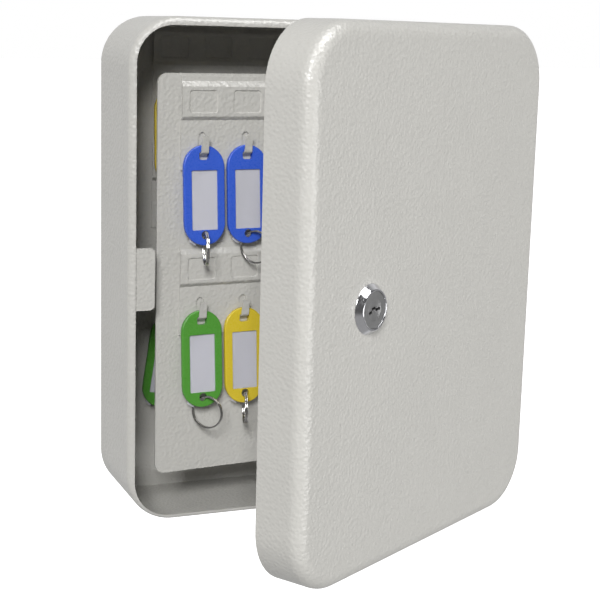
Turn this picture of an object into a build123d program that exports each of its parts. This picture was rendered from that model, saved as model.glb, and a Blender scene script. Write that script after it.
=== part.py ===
from build123d import *
import math
import os

# Wall-mounted steel key cabinet, 200 x 250 x 80 mm, with a swing-out key panel.
# Frame: X to the right, Y into the wall, Z up. The origin is the middle of the four wall
# holes on the outer face of the back plate; the door faces -Y.
# The door is modelled shut and the key panel parallel to the back, and both are then
# turned about their hinge axes to the pose in which the parts are written.

# ---- driving dimensions (mm, degrees) ----
WIDTH = 200.0
HEIGHT = 250.0
DEPTH = 80.0
BODY_DEPTH = 55.0
CORNER_R = 24.0
DOOR_CORNER_R = 29.0
SHEET = 1.0
DOOR_GAP = 0.8

DOOR_OPEN = 31.1
PANEL_OPEN = 5.68

# casing
RIM_WIDTH = 4.2
RIM_SIDE = 3.5
RIM_FOOT = 2.6
MOUTH_R = 18.5
RIM_EDGE_R = 3.5
DOOR_EDGE_R = 6.5
WALL_HOLE_R = 3.5
WALL_HOLE_DX = 120.0
WALL_HOLE_DZ = 136.0

# door hinge
HINGE_X = WIDTH / 2
HINGE_Y = -BODY_DEPTH - DOOR_GAP / 2
HINGE_LENGTH = 190.0
HINGE_KNUCKLES = 9
KNUCKLE_R = 1.9
KNUCKLE_GAP = 0.4
HINGE_PIN_R = 0.95
HINGE_BORE_R = 1.0
LEAF_DEPTH = 13.0
LEAF_CLEAR = 2.4
HINGE_NOTCH_Z = 96.5
HINGE_NOTCH_REACH = 2.7

# strike on the left wall
STRIKE_SHEET = 1.2
STRIKE_TOP = 14.1
STRIKE_BOTTOM = -16.7
STRIKE_TIP_X = -86.7
STRIKE_BEND_R = 3.0
STRIKE_WALL_RUN = 12.0
STRIKE_CORNER_R = 2.5

# swing panel
PIVOT_X = 84.0
PIVOT_Y = -22.5
PANEL_SETBACK = 6.0
PANEL_SHEET = 1.2
PANEL_TOP = 98.0
PANEL_BOTTOM = -103.2
PANEL_REACH = 168.7
PANEL_CORNER_R = 5.0
PANEL_TAIL = 6.5
PIVOT_PIN_R = 2.0
PIVOT_HOLE_R = 2.08
PIVOT_GAP = 1.0
EAR_HALF = 6.5
BRACKET_SHEET = 1.5
BRACKET_HALF = 8.0
BRACKET_FLANGE = 12.0
PIN_REACH = 4.0
WASHER_SHEET = 0.8

# hook strips
STRIP_SHEET = 0.8
HOOK_PITCH = 23.6
HOOK_COLUMNS = 6
STRIP_MARGIN = 11.3
FIRST_HOOK = -145.4
PANEL_STRIP_TOPS = {"upper": 96.6, "lower": 13.8}
STRIP_HEIGHT = 45.9
BAND_RAISE = 1.8
BAND_EDGES = (2.4, 5.0, 19.4, 21.2)
WINDOW_WIDTH = 15.3
WINDOW_HEIGHT = 11.3
WINDOW_DROP = 12.3
WINDOW_DEPTH = 0.6
WINDOW_R = 1.6
ROOT_DROP = 39.3
BACK_STRIP_TOPS = {"upper": 122.2, "middle": 62.6, "lower": 3.0}
BACK_FIRST_HOOK = -62.2

# hooks: a tongue cut out of the strip and bent forward, root at the bottom
TONGUE_ROOT_WIDTH = 4.1
TONGUE_TIP_WIDTH = 3.5
TONGUE_TIP_R = 0.8
TONGUE_KNEE = (4.2, 2.4)
TONGUE_TIP = (5.4, 10.3)
TONGUE_BEND_R = 1.2
LANCE_HEIGHT = 12.1
LANCE_TOP_WIDTH = 3.9
LANCE_ROOT_WIDTH = 4.7

# key tags
TAG_LENGTH = 49.4
TAG_WIDTH = 21.9
TAG_THICK = 2.4
TAG_LIP = 0.6
TAG_EDGE_R = 0.6
TAG_ABOVE_ROOT = 5.8
TAG_OUT = 2.06
TAG_BAR = 3.2
TAG_SLOT_WIDTH = 5.4
TAG_SLOT_HEIGHT = 4.0
TAG_SLOT_R = 1.0
TAG_WINDOW_WIDTH = 13.9
TAG_WINDOW_HEIGHT = 29.5
TAG_WINDOW_DROP = 12.3
TAG_POCKET_MARGIN = 0.8
TAG_TAIL_RECESS = 0.8
TAG_TAIL_TOP = -18.15
TAG_RING_HOLE_R = 2.1
TAG_RING_HOLE_UP = 5.1
COVER_SHEET = 0.4
COVER_RAIL = 0.5
LABEL_SHEET = 0.25
LABEL_CLEAR = 0.15
EAR_OUT = 0.9
EAR_BAND = (4.6, 7.9)

# split rings
RING_OUTER_R = 8.5
RING_WIRE = 0.85
RING_STACK = 1.65

# cam lock, on its own axis: 0 is the door's outer face and + is into the cabinet
LOCK_X = -53.0
LOCK_Z = 0.0
BEZEL_R = 12.0
BEZEL_FRONT_R = 9.4
BEZEL_HEIGHT = 3.2
HOUSING_R = 9.5
HOUSING_FLAT = 8.2
HOUSING_END = 17.5
PLUG_HEAD_R = 8.35
PLUG_HEAD_DEPTH = 3.0
PLUG_BODY_R = 6.5
PLUG_CLEAR = 0.08
CUTOUT_CLEAR = 0.1
PLUG_RECESS = 0.4
PLUG_DISH = 0.6
PLUG_DISH_R = 5.0
KEYWAY_HALF = 4.3
KEYWAY_STEP = 0.55
KEYWAY_GAP = 1.3
KEYWAY_DEPTH = 15.0
KEYWAY_TILT = 11.0
PLUG_END = 17.7
TAIL_HALF = 3.0
CAM_SHEET = 2.0
CAM_HUB_R = 8.0
CAM_ARM_HALF = 6.0
CAM_LENGTH = 40.0
CAM_CRANK_START = 12.0
CAM_CRANK_END = 20.0
CAM_ARM_FACE = DEPTH - BODY_DEPTH + 2.6
LOCK_WASHER_SHEET = 0.8
LOCK_WASHER_R = 13.0
NUT_HEIGHT = 4.0
NUT_FLATS = 24.0
CAM_WASHER_R = 5.5
CAM_WASHER_SHEET = 0.8
SCREW_HEAD_R = 4.0
SCREW_HEAD_HEIGHT = 3.0
SCREW_R = 2.0
SCREW_REACH = 6.0
WAFER_COUNT = 5
WAFER_PITCH = 2.4
WAFER_FIRST = 3.0
WAFER_SHEET = 0.7
WAFER_HALF_LONG = 5.8
WAFER_HALF_WIDE = 2.4
WAFER_LUG = 1.2
WAFER_LUG_X = (3.6, 4.7)
SPRING_R = 0.4
SPRING_LENGTH = 2.6
SPRING_CLEAR = 0.1

# where each tag hangs: its strip and hook, its tilt outward, its lean sideways, and its
# ring's turn about the vertical and swing outward (degrees)
TAGS = {
    1: {"on": "upper", "column": 0, "tilt": 4.0, "lean": 0.0, "ring_turn": -16.0, "ring_swing": 38.0},
    2: {"on": "upper", "column": 1, "tilt": 4.0, "lean": 0.0, "ring_turn": 40.0, "ring_swing": 34.0},
    3: {"on": "lower", "column": 0, "tilt": 4.0, "lean": 0.0, "ring_turn": 40.0, "ring_swing": 20.0},
    4: {"on": "lower", "column": 1, "tilt": 4.0, "lean": 0.0, "ring_turn": -20.0, "ring_swing": 26.0},
    5: {"on": "back upper", "column": 0, "tilt": 8.5, "lean": 1.5, "ring_turn": 0.0, "ring_swing": 47.0},
    6: {"on": "back lower", "column": 0, "tilt": 4.0, "lean": 9.6, "ring_turn": 24.0, "ring_swing": 34.0},
}
TAG_PIVOT_DROP = 3.2


def rounded_block(width, height, radius, back, front):
    """A block with rounded corners in the XZ plane, from Y = back to Y = front."""
    return extrude(Plane.XZ.offset(-back) * RectangleRounded(width, height, radius), back - front)


def box_between(low, high):
    """A box given by its lowest and highest corners."""
    size = [h - l for l, h in zip(low, high)]
    middle = [(l + h) / 2 for l, h in zip(low, high)]
    return Pos(*middle) * Box(*size)


def rod(radius, start, length, direction):
    """A cylinder from a start point along a direction."""
    return extrude(Plane(origin=start, z_dir=direction) * Circle(radius), length)


def turned(shape, centre_x, centre_y, angle):
    """A shape turned about the vertical axis through (centre_x, centre_y)."""
    return Pos(centre_x, centre_y, 0) * Rot(0, 0, angle) * Pos(-centre_x, -centre_y, 0) * shape


def on_door(shape):
    return turned(shape, HINGE_X, HINGE_Y, DOOR_OPEN)


def on_panel(shape):
    return turned(shape, PIVOT_X, PIVOT_Y, PANEL_OPEN)


# ---- casing ----
def front_edges(block):
    return block.faces().sort_by(Axis.Y)[0].edges()


def hinge_notch(reach_y):
    """The clearance in a side wall for the knuckles of the hinge."""
    low = (WIDTH / 2 - RIM_WIDTH - SHEET, min(HINGE_Y, reach_y), -HINGE_NOTCH_Z)
    high = (WIDTH / 2 + SHEET, max(HINGE_Y, reach_y), HINGE_NOTCH_Z)
    return box_between(low, high)


def leaf_seat():
    """The rounding cut away inside the right wall so that the hinge leaf lies flat on it."""
    low = (WIDTH / 2 - RIM_WIDTH - SHEET, -BODY_DEPTH - SHEET, -HINGE_NOTCH_Z)
    high = (WIDTH / 2 - SHEET, -BODY_DEPTH + RIM_EDGE_R, HINGE_NOTCH_Z)
    return box_between(low, high)


def make_wall_band():
    inside = 2 * SHEET
    outer = rounded_block(WIDTH, HEIGHT, CORNER_R, 0, -BODY_DEPTH)
    outer = fillet(front_edges(outer), RIM_EDGE_R)
    cavity = rounded_block(
        WIDTH - inside, HEIGHT - inside, CORNER_R - SHEET, SHEET, -BODY_DEPTH + SHEET
    )
    cavity = fillet(front_edges(cavity), RIM_EDGE_R - SHEET)
    mouth_height = HEIGHT - RIM_WIDTH - RIM_FOOT
    mouth = rounded_block(WIDTH - 2 * RIM_SIDE, mouth_height, MOUTH_R, 0, -BODY_DEPTH - SHEET)
    mouth = Pos(0, 0, (RIM_FOOT - RIM_WIDTH) / 2) * mouth
    notch = hinge_notch(HINGE_Y + HINGE_NOTCH_REACH) + hinge_notch(HINGE_Y - SHEET)
    return outer - cavity - mouth - notch - leaf_seat()


def make_back_plate():
    inside = 2 * SHEET
    plate = rounded_block(WIDTH - inside, HEIGHT - inside, CORNER_R - SHEET, 0, -SHEET)
    for side in (-1, 1):
        for end in (-1, 1):
            start = (side * WALL_HOLE_DX / 2, SHEET, end * WALL_HOLE_DZ / 2)
            plate -= rod(WALL_HOLE_R, start, 3 * SHEET, (0, -1, 0))
    return plate


def make_strike_plate():
    """A bent bracket on the left wall whose tab the cam locks behind."""
    wall_x = -WIDTH / 2 + SHEET + STRIKE_SHEET / 2
    tab_y = -BODY_DEPTH + SHEET + STRIKE_SHEET / 2
    path = FilletPolyline(
        (wall_x, tab_y + STRIKE_BEND_R + STRIKE_WALL_RUN),
        (wall_x, tab_y),
        (STRIKE_TIP_X, tab_y),
        radius=STRIKE_BEND_R,
    )
    height = STRIKE_TOP - STRIKE_BOTTOM
    bracket = Pos(0, 0, STRIKE_BOTTOM) * extrude(trace(path, STRIKE_SHEET), height)
    corners = bracket.edges().filter_by(Axis.Y).group_by(Axis.X)[-1]
    return fillet(corners, STRIKE_CORNER_R)


# ---- door ----
def make_door_pan():
    inside = 2 * SHEET
    rear = -BODY_DEPTH - DOOR_GAP
    outer = rounded_block(WIDTH, HEIGHT, DOOR_CORNER_R, rear, -DEPTH)
    outer = fillet(front_edges(outer), DOOR_EDGE_R)
    cavity = rounded_block(
        WIDTH - inside, HEIGHT - inside, DOOR_CORNER_R - SHEET, rear + SHEET, -DEPTH + SHEET
    )
    cavity = fillet(front_edges(cavity), DOOR_EDGE_R - SHEET)
    return outer - cavity - hinge_notch(HINGE_Y - HINGE_NOTCH_REACH) - lock_cutout()


def lock_section(radius, flat):
    """The round section with two flats that keeps the lock from turning in the door."""
    return Circle(radius) & Rectangle(3 * radius, 2 * flat)


def lock_plane(depth):
    """A plane across the lock's axis, at a depth behind the door's outer face, facing into the cabinet."""
    return Plane(origin=(LOCK_X, -DEPTH + depth, LOCK_Z), x_dir=(1, 0, 0), z_dir=(0, 1, 0))


def lock_cutout():
    section = lock_section(HOUSING_R + CUTOUT_CLEAR, HOUSING_FLAT + CUTOUT_CLEAR)
    return extrude(lock_plane(-SHEET) * section, 3 * SHEET)


# ---- hinge ----
def hinge_leaf(first, side, bore_r):
    """One leaf with every second knuckle; side is +1 for the body's leaf and -1 for the door's."""
    step = HINGE_LENGTH / HINGE_KNUCKLES
    outer_x = WIDTH / 2 - SHEET
    inner_x = outer_x - SHEET
    near = HINGE_Y + side * LEAF_CLEAR
    far = HINGE_Y + side * (LEAF_CLEAR + LEAF_DEPTH)
    leaf = box_between(
        (inner_x, min(near, far), -HINGE_LENGTH / 2), (outer_x, max(near, far), HINGE_LENGTH / 2)
    )
    bore = rod(bore_r, (HINGE_X, HINGE_Y, -HINGE_LENGTH), 2 * HINGE_LENGTH, (0, 0, 1))
    for index in range(first, HINGE_KNUCKLES, 2):
        low = -HINGE_LENGTH / 2 + index * step + KNUCKLE_GAP / 2
        high = low + step - KNUCKLE_GAP
        leaf += rod(KNUCKLE_R, (HINGE_X, HINGE_Y, low), high - low, (0, 0, 1))
        leaf += box_between(
            (HINGE_X - KNUCKLE_R, min(HINGE_Y, near), low), (outer_x, max(HINGE_Y, near), high)
        )
    return leaf - bore


def make_hinge_pin():
    return rod(HINGE_PIN_R, (HINGE_X, HINGE_Y, -HINGE_LENGTH / 2), HINGE_LENGTH, (0, 0, 1))


# ---- lock ----
def lock_rod(radius, start, end):
    return extrude(lock_plane(start) * Circle(radius), end - start)


def make_lock_housing():
    rim = BEZEL_R - 0.6
    profile = Polyline(
        (0, 0), (BEZEL_R, 0), (rim, 0.5), (BEZEL_FRONT_R, BEZEL_HEIGHT), (0, BEZEL_HEIGHT), close=True
    )
    cone = revolve(Plane.XZ * make_face(profile), Axis.Z)
    bezel = Pos(LOCK_X, -DEPTH, LOCK_Z) * Rot(90, 0, 0) * cone
    barrel = extrude(lock_plane(0) * lock_section(HOUSING_R, HOUSING_FLAT), HOUSING_END)
    housing = bezel + barrel
    head_end = PLUG_HEAD_DEPTH - BEZEL_HEIGHT
    housing -= lock_rod(PLUG_HEAD_R + PLUG_CLEAR, -2 * BEZEL_HEIGHT, head_end + PLUG_CLEAR)
    return housing - lock_rod(PLUG_BODY_R + PLUG_CLEAR, -SHEET, HOUSING_END + SHEET)


def keyway_section():
    """A stepped slot, wide across the plug and offset up and down along its length."""
    step, half, gap = KEYWAY_STEP, KEYWAY_HALF, KEYWAY_GAP / 2
    third = half / 3
    upper = [(-half, step), (-third, step), (-third, -step), (third, -step), (third, step), (half, step)]
    outline = [(x, z + gap) for x, z in upper] + [(x, z - gap) for x, z in reversed(upper)]
    return Rot(0, 0, -KEYWAY_TILT) * make_face(Polyline(*outline, close=True))


def wafer_depth(index):
    return WAFER_FIRST + index * WAFER_PITCH


def make_lock_plug():
    face = -BEZEL_HEIGHT + PLUG_RECESS
    head_end = PLUG_HEAD_DEPTH - BEZEL_HEIGHT
    plug = lock_rod(PLUG_HEAD_R, face, head_end) + lock_rod(PLUG_BODY_R, face, PLUG_END)
    tail_end = PLUG_END + 0.3 + CAM_SHEET - 0.2
    plug += extrude(lock_plane(PLUG_END) * Rectangle(2 * TAIL_HALF, 2 * TAIL_HALF), tail_end - PLUG_END)
    dish_r = (PLUG_DISH_R ** 2 + PLUG_DISH ** 2) / (2 * PLUG_DISH)
    plug -= Pos(LOCK_X, -DEPTH + face + PLUG_DISH - dish_r, LOCK_Z) * Sphere(dish_r)
    plug -= extrude(lock_plane(face - SHEET) * keyway_section(), KEYWAY_DEPTH)
    for index in range(WAFER_COUNT):
        plug -= wafer_room(index)
    return plug - lock_rod(SCREW_R, tail_end - SCREW_REACH, tail_end + SHEET)


def across_plug(section, start, length):
    """A section turned to the keyway's tilt and extruded from a depth along the plug."""
    return extrude(lock_plane(start) * Rot(0, 0, -KEYWAY_TILT) * section, length)


def spring_line():
    """The height of the wafer springs beside the wafers."""
    return WAFER_HALF_WIDE + WAFER_LUG / 2


def wafer_room(index):
    """The slot for a wafer, with the pocket for its lug and its spring beside it."""
    clear = SPRING_CLEAR
    slot = Rectangle(2 * (WAFER_HALF_LONG + clear), 2 * (WAFER_HALF_WIDE + clear))
    low, high = WAFER_LUG_X[0] - SPRING_LENGTH - clear, WAFER_LUG_X[1] + clear
    pocket = Pos((low + high) / 2, spring_line()) * Rectangle(high - low, WAFER_LUG + 2 * clear)
    return across_plug(slot + pocket, wafer_depth(index) - clear, WAFER_SHEET + 2 * clear)


def make_lock_wafers():
    plate = Rectangle(2 * WAFER_HALF_LONG, 2 * WAFER_HALF_WIDE)
    plate -= Pos(0.8, 0) * Rectangle(1.5 * KEYWAY_HALF, 2 * KEYWAY_GAP)
    near, far = WAFER_LUG_X
    plate += Pos((near + far) / 2, spring_line()) * Rectangle(far - near, WAFER_LUG)
    depths = [wafer_depth(index) for index in range(WAFER_COUNT)]
    return Compound(children=[across_plug(plate, depth, WAFER_SHEET) for depth in depths])


def make_wafer_springs():
    springs = []
    for index in range(WAFER_COUNT):
        place = lock_plane(wafer_depth(index) + WAFER_SHEET / 2) * Rot(0, 0, -KEYWAY_TILT)
        start = Pos(WAFER_LUG_X[0] - SPRING_LENGTH, spring_line()) * Rot(0, 90, 0)
        springs.append(place * start * extrude(Circle(SPRING_R), SPRING_LENGTH))
    return Compound(children=springs)


def make_lock_nut():
    hexagon = RegularPolygon(NUT_FLATS / 2, 6, major_radius=False) - lock_section(HOUSING_R, HOUSING_FLAT)
    start = SHEET + LOCK_WASHER_SHEET
    return extrude(lock_plane(start) * hexagon, NUT_HEIGHT)


def make_lock_washer():
    ring = Circle(LOCK_WASHER_R) - lock_section(HOUSING_R, HOUSING_FLAT)
    return extrude(lock_plane(SHEET) * ring, LOCK_WASHER_SHEET)


def make_lock_cam():
    """A cranked cam, pointing down, that steps back to the plane behind the strike's tab."""
    hub_depth = PLUG_END + 0.3 + CAM_SHEET / 2
    arm_depth = CAM_ARM_FACE + CAM_SHEET / 2
    path = FilletPolyline(
        (-DEPTH + hub_depth, LOCK_Z + CAM_HUB_R),
        (-DEPTH + hub_depth, LOCK_Z - CAM_CRANK_START),
        (-DEPTH + arm_depth, LOCK_Z - CAM_CRANK_END),
        (-DEPTH + arm_depth, LOCK_Z - CAM_LENGTH),
        radius=2 * CAM_SHEET,
    )
    sheet = Pos(LOCK_X, 0, 0) * extrude(Plane.YZ * trace(path, CAM_SHEET), CAM_HUB_R, both=True)
    hub = Circle(CAM_HUB_R)
    arm_length = CAM_LENGTH - CAM_ARM_HALF
    arm = Pos(0, -arm_length / 2) * Rectangle(2 * CAM_ARM_HALF, arm_length)
    tip = Pos(0, -arm_length) * Circle(CAM_ARM_HALF)
    square = Rectangle(2 * TAIL_HALF + 0.1, 2 * TAIL_HALF + 0.1)
    front = Plane(origin=(LOCK_X, 0, LOCK_Z), x_dir=(1, 0, 0), z_dir=(0, -1, 0))
    outline = extrude(front * (hub + arm + tip - square), DEPTH)
    return sheet & outline


def cam_outer_depth():
    return PLUG_END + 0.3 + CAM_SHEET


def make_cam_washer():
    start = cam_outer_depth()
    ring = lock_rod(CAM_WASHER_R, start, start + CAM_WASHER_SHEET)
    return ring - lock_rod(SCREW_R, start - SHEET, start + 2 * SHEET)


def make_cam_screw():
    head = cam_outer_depth() + CAM_WASHER_SHEET
    top = head + SCREW_HEAD_HEIGHT
    screw = lock_rod(SCREW_R, cam_outer_depth() - 0.2 - SCREW_REACH, head + 1)
    screw += fillet(lock_rod(SCREW_HEAD_R, head, top).faces().sort_by(Axis.Y)[-1].edges(), 0.8)
    for angle in (0, 90):
        slot = Rot(0, 0, angle) * Rectangle(1.0, 1.3 * SCREW_HEAD_R)
        screw -= extrude(lock_plane(top - 1.4) * slot, 2)
    return screw


# ---- swing panel ----
def pivot_lug(half_width, low_z, high_z, root_y):
    """A flat lug from Y = root_y to a round end about the panel's pivot."""
    lug = Pos(PIVOT_X, PIVOT_Y) * Circle(half_width)
    lug += Pos(PIVOT_X, (root_y + PIVOT_Y) / 2) * Rectangle(2 * half_width, abs(root_y - PIVOT_Y))
    return Pos(0, 0, low_z) * extrude(lug, high_z - low_z)


def make_key_panel():
    face_y = PIVOT_Y - PANEL_SETBACK
    left = PIVOT_X - PANEL_REACH
    right = PIVOT_X + PANEL_TAIL
    height = PANEL_TOP - PANEL_BOTTOM
    middle = ((left + right) / 2, (PANEL_TOP + PANEL_BOTTOM) / 2)
    section = Pos(*middle) * Rectangle(right - left, height)
    section = fillet(section.vertices().group_by(Axis.X)[0], PANEL_CORNER_R)
    plate = extrude(Plane.XZ.offset(-face_y - PANEL_SHEET) * section, PANEL_SHEET)
    for low in (PANEL_BOTTOM, PANEL_TOP - PANEL_SHEET):
        plate += pivot_lug(EAR_HALF, low, low + PANEL_SHEET, face_y + PANEL_SHEET / 2)
    return plate - rod(PIVOT_HOLE_R, (PIVOT_X, PIVOT_Y, -HEIGHT / 2), HEIGHT, (0, 0, 1))


def make_pivot_bracket(end):
    """An angle bracket on the back plate; end is +1 for the top one and -1 for the bottom one."""
    edge = PANEL_TOP if end > 0 else PANEL_BOTTOM
    near = edge + end * PIVOT_GAP
    far = near + end * BRACKET_SHEET
    flange_end = near + end * BRACKET_FLANGE
    bracket = pivot_lug(BRACKET_HALF, min(near, far), max(near, far), -SHEET)
    flange_low = (PIVOT_X - BRACKET_HALF, -SHEET - BRACKET_SHEET, min(near, flange_end))
    flange_high = (PIVOT_X + BRACKET_HALF, -SHEET, max(near, flange_end))
    bracket += box_between(flange_low, flange_high)
    return bracket - rod(PIVOT_PIN_R, (PIVOT_X, PIVOT_Y, -HEIGHT), 2 * HEIGHT, (0, 0, 1))


def make_pivot_pins():
    pins = []
    for end in (-1, 1):
        edge = PANEL_TOP if end > 0 else PANEL_BOTTOM
        outer = edge + end * (PIVOT_GAP + BRACKET_SHEET)
        inner = edge - end * PIN_REACH
        low, high = sorted((inner, outer))
        head = outer if end > 0 else outer - SHEET
        pin = rod(PIVOT_PIN_R, (PIVOT_X, PIVOT_Y, low), high - low, (0, 0, 1))
        pin += rod(1.6 * PIVOT_PIN_R, (PIVOT_X, PIVOT_Y, head), SHEET, (0, 0, 1))
        pins.append(pin)
    return Compound(children=pins)


def make_pivot_washer():
    start = (PIVOT_X, PIVOT_Y, PANEL_BOTTOM - PIVOT_GAP)
    washer = rod(2 * PIVOT_PIN_R, start, WASHER_SHEET, (0, 0, 1))
    return washer - rod(PIVOT_HOLE_R, start, WASHER_SHEET, (0, 0, 1))


# ---- hook strips, drawn with the mounting face on Y = 0, the top edge on Z = 0 and the
# ---- first hook on X = 0; the front is -Y
def strip_plate():
    """The bare strip, with a raised label band along its upper half."""
    half = STRIP_SHEET / 2
    raised = -half - BAND_RAISE
    top, inner_top, inner_bottom, bottom = BAND_EDGES
    path = FilletPolyline(
        (-half, 0),
        (-half, -top),
        (raised, -inner_top),
        (raised, -inner_bottom),
        (-half, -bottom),
        (-half, -STRIP_HEIGHT),
        radius=STRIP_SHEET,
    )
    length = (HOOK_COLUMNS - 1) * HOOK_PITCH + 2 * STRIP_MARGIN
    return Pos(-STRIP_MARGIN, 0, 0) * extrude(Plane.YZ * trace(path, STRIP_SHEET), length)


def label_window():
    """The pocket of a label window, and the sheet pressed in behind it."""
    face = -STRIP_SHEET - BAND_RAISE
    opening = Plane.XZ.offset(-face) * RectangleRounded(WINDOW_WIDTH, WINDOW_HEIGHT, WINDOW_R)
    pocket = extrude(opening, -WINDOW_DEPTH, taper=40)
    floor = RectangleRounded(WINDOW_WIDTH, WINDOW_HEIGHT, WINDOW_R)
    backing = extrude(Plane.XZ.offset(-face - WINDOW_DEPTH) * floor, -STRIP_SHEET)
    return Pos(0, 0, -WINDOW_DROP) * pocket, Pos(0, 0, -WINDOW_DROP) * backing


def lance_outline(root_width, top_width, height):
    """A tapered outline with an arched top; its root is on Z = 0."""
    radius = top_width / 2
    shoulder = height - radius
    sides = Polyline((-radius, shoulder), (-root_width / 2, 0), (root_width / 2, 0), (radius, shoulder))
    arch = RadiusArc((-radius, shoulder), (radius, shoulder), radius)
    return make_face(sides + arch)


def tongue_outline(height):
    """The tongue seen from the front; its root is on Z = 0."""
    root, top = TONGUE_ROOT_WIDTH / 2, TONGUE_TIP_WIDTH / 2
    outline = make_face(Polyline((-root, 0), (root, 0), (top, height), (-top, height), close=True))
    return fillet(outline.vertices().group_by(Axis.Y)[-1], TONGUE_TIP_R)


def hook_tongue():
    """The bent tongue, with its root at the origin and rising in front of the strip."""
    knee, tip = TONGUE_KNEE, TONGUE_TIP
    half = STRIP_SHEET / 2
    path = FilletPolyline(
        (-half, -STRIP_SHEET), (-half, 0), (-knee[0], knee[1]), (-tip[0], tip[1]), radius=TONGUE_BEND_R
    )
    sheet = extrude(Plane.YZ * trace(path, STRIP_SHEET), LANCE_ROOT_WIDTH, both=True)
    outline = tongue_outline(tip[1] + half)
    skirt = Pos(0, -STRIP_SHEET) * Rectangle(TONGUE_ROOT_WIDTH, 2 * STRIP_SHEET)
    return sheet & extrude(Plane.XZ * (outline + skirt), 2 * tip[0])


def make_strip():
    strip = strip_plate()
    slot = extrude(
        Plane.XZ.offset(-STRIP_SHEET) * lance_outline(LANCE_ROOT_WIDTH, LANCE_TOP_WIDTH, LANCE_HEIGHT),
        3 * STRIP_SHEET,
    )
    tongue = hook_tongue()
    pocket, backing = label_window()
    for column in range(HOOK_COLUMNS):
        across = column * HOOK_PITCH
        strip = strip + Pos(across, 0, 0) * backing - Pos(across, 0, 0) * pocket
        strip = strip - Pos(across, 0, -ROOT_DROP) * slot + Pos(across, 0, -ROOT_DROP) * tongue
    return strip


def panel_strip_place(row):
    return Pos(PIVOT_X + FIRST_HOOK, PIVOT_Y - PANEL_SETBACK, PANEL_STRIP_TOPS[row])


def back_strip_place(row):
    return Pos(BACK_FIRST_HOOK, -SHEET, BACK_STRIP_TOPS[row])


# ---- key tags, drawn about the tag's middle, front -Y
def tag_outline():
    return Rot(0, 0, 90) * SlotOverall(TAG_LENGTH, TAG_WIDTH)


def tag_layer(section, back, front):
    return extrude(Plane.XZ.offset(-back) * section, back - front)


def tag_window(margin):
    middle = TAG_LENGTH / 2 - TAG_WINDOW_DROP - TAG_WINDOW_HEIGHT / 2
    size = (TAG_WINDOW_WIDTH + 2 * margin, TAG_WINDOW_HEIGHT + 2 * margin)
    return Pos(0, middle) * RectangleRounded(*size, TAG_EDGE_R)


def hanging_slot():
    """The opening that the hook's tongue comes through."""
    middle = TAG_LENGTH / 2 - TAG_BAR - TAG_SLOT_HEIGHT / 2
    return Pos(0, middle) * RectangleRounded(TAG_SLOT_WIDTH, TAG_SLOT_HEIGHT, TAG_SLOT_R)


def ring_hole_place():
    return Pos(0, -TAG_LENGTH / 2 + TAG_RING_HOLE_UP)


def make_tag_frame():
    half = TAG_THICK / 2
    body = tag_layer(tag_outline(), half, -half)
    rims = body.faces().filter_by(Axis.Y).edges()
    body = fillet(rims, TAG_EDGE_R)
    body -= tag_layer(tag_window(0), 2 * half, -2 * half)
    body -= tag_layer(tag_window(TAG_POCKET_MARGIN), 2 * half, -half + TAG_LIP)
    body -= tag_layer(hanging_slot(), 2 * half, -2 * half)
    tail = Pos(0, TAG_TAIL_TOP - TAG_WIDTH / 2) * Rectangle(2 * TAG_WIDTH, TAG_WIDTH)
    body -= tag_layer(tail, 2 * half, half - TAG_TAIL_RECESS)
    return body - tag_layer(ring_hole_place() * Circle(TAG_RING_HOLE_R), 2 * half, -2 * half)


def cover_ears():
    """Two legs below the window whose ends stand out past the tag's round end."""
    end_centre = -TAG_LENGTH / 2 + TAG_WIDTH / 2
    reach = Pos(0, end_centre) * Circle(TAG_WIDTH / 2 + EAR_OUT)
    below = Pos(0, TAG_TAIL_TOP - TAG_WIDTH / 2) * Rectangle(2 * TAG_WIDTH, TAG_WIDTH)
    inner, outer = EAR_BAND
    column = Rectangle(outer - inner, TAG_WIDTH)
    offset = (inner + outer) / 2
    columns = Pos(offset, TAG_TAIL_TOP) * column + Pos(-offset, TAG_TAIL_TOP) * column
    return reach & below & columns


def make_tag_cover():
    """The clear insert: a window sheet with side rails, and two ears at the foot."""
    half = TAG_THICK / 2
    fit = tag_window(TAG_POCKET_MARGIN)
    front = -half + TAG_LIP
    cover = tag_layer(fit, half, front)
    cover -= tag_layer(tag_window(TAG_POCKET_MARGIN - COVER_RAIL), 2 * half, front + COVER_SHEET)
    return cover + tag_layer(cover_ears(), half, half - TAG_TAIL_RECESS)


def make_tag_label():
    front = -TAG_THICK / 2 + TAG_LIP + COVER_SHEET
    margin = TAG_POCKET_MARGIN - COVER_RAIL - LABEL_CLEAR
    return tag_layer(tag_window(margin), front + LABEL_SHEET, front)


def make_split_ring(turn, swing):
    """A ring of two flat turns, hung by its top from the origin."""
    middle = RING_OUTER_R - RING_WIRE / 2
    section = Pos(middle, 0) * Rot(0, 0, 90) * SlotOverall(RING_STACK, RING_WIRE)
    ring = revolve(Plane.XY * section, Axis.Y)
    ring = Rot(0, 0, 90) * ring
    return Rot(0, 0, turn) * Rot(-swing, 0, 0) * Pos(0, 0, -middle) * ring


def tag_root(tag):
    """The root of the tag's hook, before the panel is swung."""
    across = tag["column"] * HOOK_PITCH
    if tag["on"].startswith("back"):
        row = tag["on"].split()[1]
        return (BACK_FIRST_HOOK + across, -SHEET, BACK_STRIP_TOPS[row] - ROOT_DROP)
    drop = PANEL_STRIP_TOPS[tag["on"]] - ROOT_DROP
    return (PIVOT_X + FIRST_HOOK + across, PIVOT_Y - PANEL_SETBACK, drop)


def tag_out(tag):
    """How far the tag's middle stands out at its pivot, so that its tilted top clears the strip."""
    return TAG_OUT + TAG_PIVOT_DROP * math.sin(math.radians(tag["tilt"]))


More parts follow.
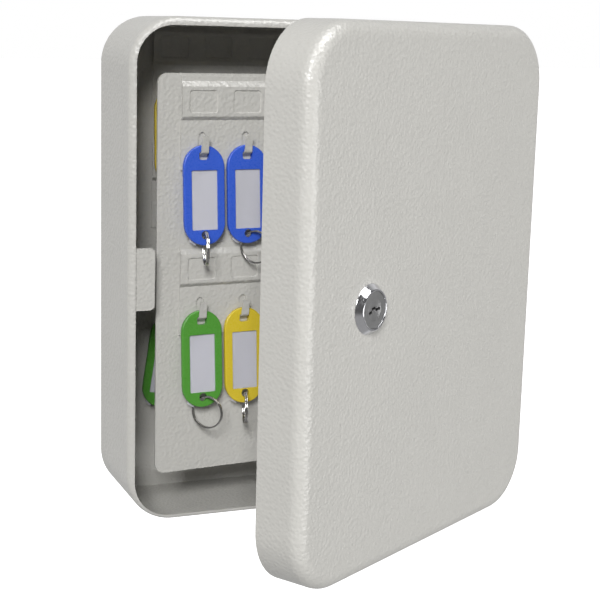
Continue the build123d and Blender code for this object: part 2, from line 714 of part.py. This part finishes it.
def tag_place(tag):
    """Tag coordinates to the cabinet's: hung on its hook, leaning out and sideways."""
    x, y, z = tag_root(tag)
    top = z + TAG_ABOVE_ROOT
    hang = Pos(x, y - tag_out(tag), top - TAG_PIVOT_DROP)
    lean = Rot(0, tag["lean"], 0) * Rot(-tag["tilt"], 0, 0)
    return hang * lean * Pos(0, 0, TAG_PIVOT_DROP - TAG_LENGTH / 2)


def ring_centre(tag):
    """The middle of the tag's ring hole."""
    up = -TAG_LENGTH / 2 + TAG_RING_HOLE_UP
    return (tag_place(tag) * Pos(0, -TAG_TAIL_RECESS / 2, up)).position


def tag_pieces(tag):
    place = tag_place(tag)
    ring = Pos(*ring_centre(tag)) * make_split_ring(tag["ring_turn"], tag["ring_swing"])
    pieces = {
        "frame": place * make_tag_frame(),
        "cover": place * make_tag_cover(),
        "label": place * make_tag_label(),
        "ring": ring,
    }
    if tag["on"].startswith("back"):
        return pieces
    return {name: on_panel(shape) for name, shape in pieces.items()}


# ---- everything, by node name ----
def make_nodes():
    nodes = {
        "wall_band": make_wall_band(),
        "back_plate": make_back_plate(),
        "strike_plate": make_strike_plate(),
        "hinge_leaf_body": hinge_leaf(0, 1, HINGE_PIN_R),
        "hinge_pin": make_hinge_pin(),
        "pivot_bracket_top": make_pivot_bracket(1),
        "pivot_bracket_bottom": make_pivot_bracket(-1),
        "pivot_pins": make_pivot_pins(),
        "pivot_washer": make_pivot_washer(),
        "key_panel": on_panel(make_key_panel()),
    }
    door_parts = {
        "door_pan": make_door_pan(),
        "hinge_leaf_door": hinge_leaf(1, -1, HINGE_BORE_R),
        "lock_housing": make_lock_housing(),
        "lock_nut": make_lock_nut(),
        "lock_washer": make_lock_washer(),
        "lock_plug": make_lock_plug(),
        "lock_wafers": make_lock_wafers(),
        "wafer_springs": make_wafer_springs(),
        "lock_cam": make_lock_cam(),
        "cam_washer": make_cam_washer(),
        "cam_screw": make_cam_screw(),
    }
    nodes.update({name: on_door(shape) for name, shape in door_parts.items()})
    strip = make_strip()
    for row in PANEL_STRIP_TOPS:
        nodes["panel_strip_" + row] = on_panel(panel_strip_place(row) * strip)
    for row in BACK_STRIP_TOPS:
        nodes["back_strip_" + row] = back_strip_place(row) * strip
    for number, tag in TAGS.items():
        for piece, shape in tag_pieces(tag).items():
            nodes[f"tag_{number}_{piece}"] = shape
    return nodes


if __name__ == "__main__":
    os.makedirs("parts", exist_ok=True)
    for name, shape in make_nodes().items():
        export_step(shape, f"parts/{name}.step")
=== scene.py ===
import math

import bmesh
import bpy
from mathutils import Matrix, Vector


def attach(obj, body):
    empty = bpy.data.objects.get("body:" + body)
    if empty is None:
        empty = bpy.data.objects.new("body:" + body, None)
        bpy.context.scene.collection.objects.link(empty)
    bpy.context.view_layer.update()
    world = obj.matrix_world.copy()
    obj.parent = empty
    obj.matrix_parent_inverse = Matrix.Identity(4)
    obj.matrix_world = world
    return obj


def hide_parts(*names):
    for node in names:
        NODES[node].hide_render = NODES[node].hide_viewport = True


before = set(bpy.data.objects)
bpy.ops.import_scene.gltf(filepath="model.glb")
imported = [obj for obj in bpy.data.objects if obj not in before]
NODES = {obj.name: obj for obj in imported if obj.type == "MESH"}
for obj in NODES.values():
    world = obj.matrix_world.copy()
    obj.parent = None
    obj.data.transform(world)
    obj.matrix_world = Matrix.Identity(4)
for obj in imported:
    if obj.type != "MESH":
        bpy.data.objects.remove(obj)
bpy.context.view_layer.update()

# Key cabinet: looks around the CAD frame. Metres; X right, Y into the wall, Z up.
MM = 0.001

WHITE = (1, 1, 1)

# The upright axes of the door and of the panel, and how far each stands open at rest.
HINGE = Vector((100, -55.4, 0)) * MM
PIVOT = Vector((84, -22.5, 0)) * MM
DOOR_OPEN = math.radians(31.1)
PANEL_OPEN = math.radians(5.68)


def turn_about(point, angle):
    """A turn about the upright line through a point."""
    return Matrix.Translation(point) @ Matrix.Rotation(angle, 4, "Z") @ Matrix.Translation(-point)


DOOR = turn_about(HINGE, DOOR_OPEN)
PANEL = turn_about(PIVOT, PANEL_OPEN)


# ---------------------------------------------------------------- camera, light, floor
# Lengths in metres, angles in radians, the lens and its sensor in millimetres, lights in watts.
CAMERA_PLACE = Vector((-277.67, -709.02, 118.77)) * MM
CAMERA_YAW, CAMERA_PITCH, CAMERA_ROLL = 0.388, 0.187, 0.027
CAMERA_LENS, CAMERA_SENSOR = 84.77, 36

AMBIENT_FRONT, AMBIENT_BACK, AMBIENT_BELOW = 0.12, 0.8, 0.4
# Between which directions the ambient light changes: their Y (into the wall) and their Z (up).
TURN_TO_BACK = (-0.25, 0.45)
TURN_FROM_BELOW = (-0.5, -0.1)

FLOOR_Z, FLOOR_HALF_SIDE = -0.6, 30
FLOOR_COLOUR, FLOOR_ROUGHNESS, FLOOR_GLOW = (0.92, 0.92, 0.92), (0.86, 0.94), 0.9

KEY_PLACE, KEY_SIZE, KEY_POWER = (-1.25, -2.5, 1.5), (1.0, 1.0), 104
FILL_PLACE, FILL_SIZE, FILL_POWER = (1.1, -1.6, -0.25), (1.4, 0.6), 16
SHEEN_PLACE, SHEEN_SIZE, SHEEN_POWER = (0.4, -0.8, 1.5), (1.3, 0.9), 40


def make_camera():
    """The photograph's viewpoint: from the left and above, with a slight roll."""
    yaw, pitch, roll = CAMERA_YAW, CAMERA_PITCH, CAMERA_ROLL
    flat = math.cos(pitch)
    forward = Vector((math.sin(yaw) * flat, math.cos(yaw) * flat, -math.sin(pitch)))
    level = Vector((math.cos(yaw), -math.sin(yaw), 0))
    up = level.cross(forward)
    side = math.cos(roll) * level + math.sin(roll) * up
    top = -math.sin(roll) * level + math.cos(roll) * up
    data = bpy.data.cameras.new("camera")
    data.sensor_width = CAMERA_SENSOR
    data.lens = CAMERA_LENS
    camera = bpy.data.objects.new("camera", data)
    bpy.context.scene.collection.objects.link(camera)
    turn = Matrix((side, top, -forward)).transposed().to_4x4()
    camera.matrix_world = Matrix.Translation(CAMERA_PLACE) @ turn
    bpy.context.scene.camera = camera


def area_light(name, place, size, power):
    """A white rectangular light aimed at the middle of the casing's back."""
    data = bpy.data.lights.new(name, "AREA")
    data.shape = "RECTANGLE"
    data.size, data.size_y = size
    data.energy = power
    light = bpy.data.objects.new(name, data)
    bpy.context.scene.collection.objects.link(light)
    light.location = place
    light.rotation_euler = (-Vector(place)).to_track_quat("-Z", "Y").to_euler()
    return light


def make_world():
    """A surround that is dim in front, brighter behind and below, and seen as plain white."""
    world = bpy.data.worlds.new("studio")
    bpy.context.scene.world = world
    world.use_nodes = True
    tree = world.node_tree
    background = tree.nodes["Background"]
    background.inputs["Color"].default_value = (*WHITE, 1)
    axes = tree.nodes.new("ShaderNodeSeparateXYZ")
    tree.links.new(tree.nodes.new("ShaderNodeTexCoord").outputs["Generated"], axes.inputs["Vector"])
    level = tree.nodes.new("ShaderNodeLightPath").outputs["Is Camera Ray"]
    ramps = {
        "Y": (*TURN_TO_BACK, AMBIENT_FRONT, AMBIENT_BACK),
        "Z": (*TURN_FROM_BELOW, AMBIENT_BELOW, AMBIENT_FRONT),
    }
    for axis, values in ramps.items():
        ramp = tree.nodes.new("ShaderNodeMapRange")
        ramp.interpolation_type = "SMOOTHSTEP"
        for socket, value in zip(ramp.inputs[1:5], values):
            socket.default_value = value
        tree.links.new(axes.outputs[axis], ramp.inputs["Value"])
        larger = tree.nodes.new("ShaderNodeMath")
        larger.operation = "MAXIMUM"
        tree.links.new(level, larger.inputs[0])
        tree.links.new(ramp.outputs["Result"], larger.inputs[1])
        level = larger.outputs["Value"]
    tree.links.new(level, background.inputs["Strength"])


def make_floor():
    """A pale floor that the camera sees as near white and that doesn't light the cabinet."""
    mesh = bpy.data.meshes.new("floor")
    far = FLOOR_HALF_SIDE
    corners = [(-far, -far), (far, -far), (far, far), (-far, far)]
    mesh.from_pydata([(x, y, FLOOR_Z) for x, y in corners], [], [(0, 1, 2, 3)])
    floor = bpy.data.objects.new("floor", mesh)
    bpy.context.scene.collection.objects.link(floor)
    paint = Shader("pale_floor", FLOOR_COLOUR)
    paint.set("Roughness", paint.ranged(paint.noise(3.0), *FLOOR_ROUGHNESS))
    paint.main.inputs["Emission Color"].default_value = (*WHITE, 1)
    paint.main.inputs["Emission Strength"].default_value = FLOOR_GLOW
    mesh.materials.append(paint.material)
    floor.visible_diffuse = False
    floor.visible_glossy = False


def make_studio():
    """Soft light from the upper left, a weak fill from the right and a sheen from above."""
    make_world()
    make_floor()
    area_light("key", KEY_PLACE, KEY_SIZE, KEY_POWER)
    area_light("fill", FILL_PLACE, FILL_SIZE, FILL_POWER)
    sheen = area_light("sheen", SHEEN_PLACE, SHEEN_SIZE, SHEEN_POWER)
    sheen.visible_diffuse = False  # it only adds the highlights on edges and metal
    bpy.context.scene.view_settings.view_transform = "Standard"


# ---------------------------------------------------------------- materials
# Texture scales are per metre and bump distances are in metres.
NOISE_LOW, NOISE_HIGH = 0.3, 0.7  # most of a noise texture's values lie between these


class Shader:
    """A node material being put together around one Principled shader."""

    def __init__(self, name, colour, roughness=0.5, metallic=0.0):
        self.material = bpy.data.materials.new(name)
        self.material.use_nodes = True
        self.tree = self.material.node_tree
        self.main = self.tree.nodes["Principled BSDF"]
        self.main.inputs["Base Color"].default_value = (*colour, 1)
        self.main.inputs["Roughness"].default_value = roughness
        self.main.inputs["Metallic"].default_value = metallic
        self.place = self.node("ShaderNodeTexCoord").outputs["Object"]

    def node(self, kind, **settings):
        """A new node; a setting is one of its attributes or, failing that, an input's value."""
        made = self.tree.nodes.new(kind)
        for key, value in settings.items():
            if hasattr(made, key):
                setattr(made, key, value)
            else:
                made.inputs[key].default_value = value
        return made

    def link(self, source, target):
        self.tree.links.new(source, target)

    def noise(self, scale, detail=2.0, roughness=0.5, stretch=None):
        made = self.node("ShaderNodeTexNoise", Scale=scale, Detail=detail, Roughness=roughness)
        self.link(self.stretched(stretch), made.inputs["Vector"])
        return made.outputs["Fac"]

    def pebbles(self, scale, smooth):
        kind = "ShaderNodeTexVoronoi"
        made = self.node(kind, feature="SMOOTH_F1", Scale=scale, Smoothness=smooth)
        self.link(self.place, made.inputs["Vector"])
        return made.outputs["Distance"]

    def stretched(self, stretch):
        if stretch is None:
            return self.place
        mapping = self.node("ShaderNodeMapping")
        mapping.inputs["Scale"].default_value = stretch
        self.link(self.place, mapping.inputs["Vector"])
        return mapping.outputs["Vector"]

    def ranged(self, source, low, high, from_low=0.0, from_high=1.0):
        made = self.node("ShaderNodeMapRange")
        values = {"From Min": from_low, "From Max": from_high, "To Min": low, "To Max": high}
        for key, value in values.items():
            made.inputs[key].default_value = value
        self.link(source, made.inputs["Value"])
        return made.outputs["Result"]

    def mixed(self, source, dark, light):
        made = self.node("ShaderNodeMix", data_type="RGBA")
        made.inputs["A"].default_value = (*dark, 1)
        made.inputs["B"].default_value = (*light, 1)
        self.link(source, made.inputs["Factor"])
        return made.outputs["Result"]

    def bump(self, source, distance, strength=1.0, under=None):
        made = self.node("ShaderNodeBump", Strength=strength, Distance=distance)
        self.link(source, made.inputs["Height"])
        if under is not None:
            self.link(under, made.inputs["Normal"])
        return made.outputs["Normal"]

    def set(self, socket, source):
        self.link(source, self.main.inputs[socket])


def shade(colour, factor):
    """A colour made darker or lighter."""
    return tuple(min(1.0, c * factor) for c in colour)


def powder_coat(name, colour):
    """Baked paint with the pebbled, leather-like skin of a textured powder coat."""
    shader = Shader(name, colour)
    shader.main.inputs["Specular IOR Level"].default_value = 0.45
    pebbles = shader.pebbles(620.0, 0.6)
    wrinkle = shader.noise(1500.0, 3.0, 0.6)
    swell = shader.noise(90.0, 2.0)
    clouds = shader.noise(35.0, 4.0, 0.6)
    shader.set("Base Color", shader.mixed(clouds, shade(colour, 0.97), shade(colour, 1.03)))
    shader.set("Roughness", shader.ranged(wrinkle, 0.3, 0.42, NOISE_LOW, NOISE_HIGH))
    skin = shader.bump(swell, 0.0003, 0.35)
    skin = shader.bump(pebbles, 0.0004, 0.7, skin)
    shader.set("Normal", shader.bump(wrinkle, 0.0001, 0.4, skin))
    return shader.material


def plated_steel(name, colour, roughness):
    """Bare or plated metal, a little uneven in tone and in how sharply it reflects."""
    shader = Shader(name, colour, metallic=1.0)
    grain = shader.noise(900.0, 4.0, 0.6)
    clouds = shader.noise(160.0, 3.0)
    shader.set("Base Color", shader.mixed(clouds, shade(colour, 0.88), shade(colour, 1.06)))
    uneven = shader.ranged(grain, roughness - 0.06, roughness + 0.1, NOISE_LOW, NOISE_HIGH)
    shader.set("Roughness", uneven)
    shader.set("Normal", shader.bump(grain, 0.00003, 0.4))
    return shader.material


def moulded(name, colour):
    """Semi-gloss injection-moulded plastic with a faint flow pattern and fine texture."""
    shader = Shader(name, colour)
    shader.main.inputs["Subsurface Weight"].default_value = 0.08
    shader.main.inputs["Subsurface Radius"].default_value = (0.001, 0.001, 0.001)
    shader.main.inputs["Subsurface Scale"].default_value = 0.4
    clouds = shader.noise(120.0, 3.0)
    shader.set("Base Color", shader.mixed(clouds, shade(colour, 0.93), shade(colour, 1.07)))
    fine = shader.noise(2600.0, 2.0)
    shader.set("Roughness", shader.ranged(fine, 0.22, 0.38, NOISE_LOW, NOISE_HIGH))
    shader.set("Normal", shader.bump(shader.noise(320.0, 3.0), 0.00005, 0.35))
    return shader.material


def clear_plastic(name):
    """The tags' thin inserts: faintly milky and slightly wavy, with the card seen through."""
    shader = Shader(name, (0.78, 0.78, 0.84))
    shader.main.inputs["Alpha"].default_value = 0.34
    shader.main.inputs["IOR"].default_value = 1.46
    shader.set("Roughness", shader.ranged(shader.noise(500.0, 3.0), 0.16, 0.3))
    shader.set("Normal", shader.bump(shader.noise(60.0, 2.0), 0.0002, 0.3))
    return shader.material


def paper(name, colour, fibre_colour):
    """Off-white card with fine upright fibres."""
    shader = Shader(name, colour, roughness=0.8)
    fibres = shader.noise(2200.0, 5.0, 0.7, (1, 1, 0.35))
    shader.set("Base Color", shader.mixed(fibres, fibre_colour, colour))
    shader.set("Normal", shader.bump(fibres, 0.00004, 0.5))
    return shader.material


COAT = (0.485, 0.477, 0.45)
coat = powder_coat("powder_coat", COAT)
steel = plated_steel("zinc_plate", (0.62, 0.62, 0.64), 0.28)
spring_steel = plated_steel("nickel_wire", (0.5, 0.49, 0.48), 0.2)
chrome = plated_steel("polished_chrome", (0.68, 0.68, 0.7), 0.09)
dull_nickel = plated_steel("dull_nickel", (0.3, 0.3, 0.3), 0.42)
brass = plated_steel("brass", (0.72, 0.52, 0.22), 0.3)
clear = clear_plastic("clear_plastic")
card = paper("label_card", (0.75, 0.75, 0.79), (0.68, 0.68, 0.73))
TAG_COLOURS = {
    "blue": (0.033, 0.1, 0.55),
    "green": (0.075, 0.28, 0.035),
    "yellow": (0.6, 0.46, 0.03),
}
plastic = {name: moulded("plastic_" + name, colour) for name, colour in TAG_COLOURS.items()}
TAG_PAINT = {1: "blue", 2: "blue", 3: "green", 4: "yellow", 5: "yellow", 6: "green"}

# Every node that isn't named here is powder coated.
NODE_MATERIAL = {
    "hinge_pin": steel, "pivot_pins": steel, "pivot_washer": steel, "lock_nut": steel,
    "lock_washer": steel, "lock_cam": steel, "cam_washer": steel, "cam_screw": steel,
    "lock_housing": chrome, "lock_plug": dull_nickel, "lock_wafers": brass,
    "wafer_springs": spring_steel,
}
for number, paint in TAG_PAINT.items():
    NODE_MATERIAL[f"tag_{number}_frame"] = plastic[paint]
    NODE_MATERIAL[f"tag_{number}_cover"] = clear
    NODE_MATERIAL[f"tag_{number}_label"] = card
    NODE_MATERIAL[f"tag_{number}_ring"] = spring_steel


def paint_nodes():
    """Gives each CAD node its material."""
    for name, node in NODES.items():
        material = NODE_MATERIAL.get(name, coat)
        for slot in node.material_slots:
            slot.material = material


# ---------------------------------------------------------------- mesh helpers
SHARP_ANGLE = math.radians(40)


def add_piece(name, mesh, material, body, slot, *nodes):
    """Puts a mesh in the scene, painted, riding its body and standing for its CAD nodes."""
    piece = bpy.data.objects.new(name, mesh)
    bpy.context.scene.collection.objects.link(piece)
    mesh.materials.append(material)
    mesh.polygons.foreach_set("use_smooth", [True] * len(mesh.polygons))
    mesh.set_sharp_from_angle(angle=SHARP_ANGLE)
    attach(piece, body)
    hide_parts(*nodes)


def grid_mesh(name, rows, closed_along=False):
    """A mesh skinned over rows of points, each row a loop; it is closed along too, or capped."""
    mesh = bpy.data.meshes.new(name)
    count = len(rows[0])
    points = [point for row in rows for point in row]
    faces = []
    for i in range(len(rows) if closed_along else len(rows) - 1):
        j = (i + 1) % len(rows)
        for a in range(count):
            b = (a + 1) % count
            faces.append((i * count + a, i * count + b, j * count + b, j * count + a))
    if not closed_along:
        faces.append(tuple(reversed(range(count))))
        faces.append(tuple((len(rows) - 1) * count + a for a in range(count)))
    mesh.from_pydata(points, [], faces)
    mesh.validate()
    work = bmesh.new()
    work.from_mesh(mesh)
    bmesh.ops.recalc_face_normals(work, faces=work.faces)
    work.to_mesh(mesh)
    work.free()
    return mesh


def smoothstep(value):
    """From 0 to 1, level at both ends."""
    value = min(1.0, max(0.0, value))
    return value * value * (3 - 2 * value)


# ---------------------------------------------------------------- split rings
# Millimetres. The coil has two flat turns, one short step from the first to the second, and
# wire that narrows over its last few rows at both ends. Its start is an angle in radians.
RING_MIDDLE_R = 8.075
WIRE_RADIAL, WIRE_AXIAL, WIRE_GAP = 0.84, 0.8, 0.03
COIL_TURNS, COIL_ROWS, COIL_START = 2.0, 224, 0.9
STEP_START, STEP_LENGTH = 0.94, 0.12  # turns
END_SIZE, END_ROWS = 0.55, 5
SECTION_POINTS, SECTION_POWER = 12, 0.55  # the power is 1 for an ellipse, 0 for a rectangle


def ring_section(across, out, size):
    """A rounded rectangle of wire about a point of the coil: (along the axis, radius) pairs."""
    points = []
    for k in range(SECTION_POINTS):
        angle = 2 * math.pi * (k + 0.5) / SECTION_POINTS
        c, s = math.cos(angle), math.sin(angle)
        x = math.copysign(abs(c) ** SECTION_POWER, c) * WIRE_AXIAL / 2 * size
        y = math.copysign(abs(s) ** SECTION_POWER, s) * WIRE_RADIAL / 2 * size
        points.append((across + x, out + y))
    return points


def ring_mesh(name):
    """A split ring about the X axis, in metres."""
    rows = []
    for k in range(COIL_ROWS + 1):
        turn = COIL_TURNS * k / COIL_ROWS
        step = smoothstep((turn - STEP_START) / STEP_LENGTH)
        across = (step - 0.5) * (WIRE_AXIAL + WIRE_GAP)
        end = min(k, COIL_ROWS - k)
        size = END_SIZE + (1 - END_SIZE) * smoothstep((end + 1) / END_ROWS)
        angle = 2 * math.pi * turn + COIL_START
        row = []
        for x, r in ring_section(across, RING_MIDDLE_R, size):
            row.append((x * MM, r * math.sin(angle) * MM, r * math.cos(angle) * MM))
        rows.append(row)
    return grid_mesh(name, rows)


# Where the tags hang, as the CAD has them: hook root (mm) before the panel is turned, whether
# the panel carries it, tilt outward and lean sideways, and the ring's turn and swing (degrees).
TAGS = {
    1: {"root": (-61.4, -28.5, 57.3), "panel": True, "tilt": 4.0, "lean": 0.0, "ring": (-16.0, 38.0)},
    2: {"root": (-37.8, -28.5, 57.3), "panel": True, "tilt": 4.0, "lean": 0.0, "ring": (40.0, 34.0)},
    3: {"root": (-61.4, -28.5, -25.5), "panel": True, "tilt": 4.0, "lean": 0.0, "ring": (40.0, 20.0)},
    4: {"root": (-37.8, -28.5, -25.5), "panel": True, "tilt": 4.0, "lean": 0.0, "ring": (-20.0, 26.0)},
    5: {"root": (-62.2, -1.0, 82.9), "panel": False, "tilt": 8.5, "lean": 1.5, "ring": (0.0, 47.0)},
    6: {"root": (-62.2, -1.0, -36.3), "panel": False, "tilt": 4.0, "lean": 9.6, "ring": (24.0, 34.0)},
}
# Millimetres: a tag's length, its top over the hook's root, the line it swings on below its top,
# and its middle in front of the root; its ring's hole over its foot, and how far its front is
# set back there.
TAG_LENGTH, TAG_ABOVE_ROOT, TAG_PIVOT_DROP, TAG_OUT = 49.4, 5.8, 3.2, 2.06
RING_HOLE_UP, TAIL_RECESS = 5.1, 0.8


def tag_matrix(tag):
    """From a tag's own axes (middle of the tag, front -Y) to the cabinet's, all in millimetres."""
    x, y, z = tag["root"]
    tilt, lean = math.radians(tag["tilt"]), math.radians(tag["lean"])
    out = TAG_OUT + TAG_PIVOT_DROP * math.sin(tilt)
    hang = Matrix.Translation((x, y - out, z + TAG_ABOVE_ROOT - TAG_PIVOT_DROP))
    turn = Matrix.Rotation(lean, 4, "Y") @ Matrix.Rotation(-tilt, 4, "X")
    middle = Matrix.Translation((0, 0, TAG_PIVOT_DROP - TAG_LENGTH / 2))
    return hang @ turn @ middle


def carried(tag, matrix):
    """A place in millimetres as metres, turned with the panel if the panel carries the tag."""
    scaled = Matrix.Scale(MM, 4) @ matrix
    return PANEL @ scaled if tag["panel"] else scaled


def make_rings():
    """Six split rings, each through its own tag's hole."""
    for number, tag in TAGS.items():
        turn, swing = (math.radians(angle) for angle in tag["ring"])
        hole = tag_matrix(tag) @ Vector((0, -TAIL_RECESS / 2, RING_HOLE_UP - TAG_LENGTH / 2))
        place = Matrix.Translation(hole)
        place = place @ Matrix.Rotation(turn, 4, "Z") @ Matrix.Rotation(-swing, 4, "X")
        place = carried(tag, place @ Matrix.Translation((0, 0, -RING_MIDDLE_R)))
        body = f"ring_{number}"
        mesh = ring_mesh(body)
        mesh.transform(place @ Matrix.Scale(1 / MM, 4))
        add_piece(f"{body}_coil", mesh, spring_steel, body, "bare_steel", f"tag_{number}_ring")


# ---------------------------------------------------------------- cam lock
# Millimetres; depths run from the door's outer face into the cabinet.
LOCK = (-53.0, 0.0)
DOOR_FACE = -80.0
BARREL_R, BARREL_FLAT, BARREL_END, BARREL_CLEAR = 9.5, 8.2, 17.5, 0.03
THREAD_PITCH, THREAD_DEPTH, THREAD_START, THREAD_FADE = 1.0, 0.42, 2.2, 0.8
LOCK_SIDES, BARREL_ROWS = 128, 136
BORE_R, BORE_MOUTH, BORE_END, BORE_FLARE_R = 6.58, 0.2, 17.3, 6.75
# (radius, depth) from the bezel's edge on the door, over its cone and rim, into the recess
# around the plug.
BEZEL = [
    (11.4, 0.0), (11.5, -0.12), (11.48, -0.3), (11.35, -0.46), (11.15, -0.62),
    (9.45, -3.0), (9.3, -3.14), (9.1, -3.2), (8.75, -3.2), (8.55, -3.12),
    (8.45, -2.9), (8.43, -0.13), (6.6, -0.12),
]
BORE = [(BORE_R, BORE_MOUTH), (BORE_R, BORE_END), (BORE_FLARE_R, BARREL_END)]


def lock_point(radius, depth, angle):
    """A point about the lock's axis, turned open with the door, in metres."""
    x = LOCK[0] + radius * math.cos(angle)
    z = LOCK[1] + radius * math.sin(angle)
    return DOOR @ (Vector((x, DOOR_FACE + depth, z)) * MM)


def barrel_radius(depth, angle):
    """The threaded outside of the barrel, cut by its two flats."""
    wave = 0.5 - 0.5 * math.cos(2 * math.pi * (depth / THREAD_PITCH - angle / (2 * math.pi)))
    fade_in = smoothstep((depth - THREAD_START) / THREAD_FADE)
    fade_out = smoothstep((BARREL_END - depth) / THREAD_FADE)
    radius = BARREL_R - BARREL_CLEAR - THREAD_DEPTH * wave * fade_in * fade_out
    return min(radius, (BARREL_FLAT - BARREL_CLEAR) / max(1e-6, abs(math.sin(angle))))


def make_lock_housing():
    """Bezel, bore and threaded barrel as one mesh turned about the lock's axis."""
    rows = []
    for k in range(LOCK_SIDES):
        angle = 2 * math.pi * k / LOCK_SIDES
        row = [lock_point(radius, depth, angle) for radius, depth in BEZEL + BORE]
        for i in range(BARREL_ROWS + 1):
            depth = BARREL_END * (1 - i / BARREL_ROWS)
            row.append(lock_point(barrel_radius(depth, angle), depth, angle))
        rows.append(row)
    mesh = grid_mesh("lock_housing_mesh", rows, closed_along=True)
    add_piece("lock_bezel_and_barrel", mesh, chrome, "door", "polished", "lock_housing")


make_camera()
make_studio()
paint_nodes()
make_rings()
make_lock_housing()
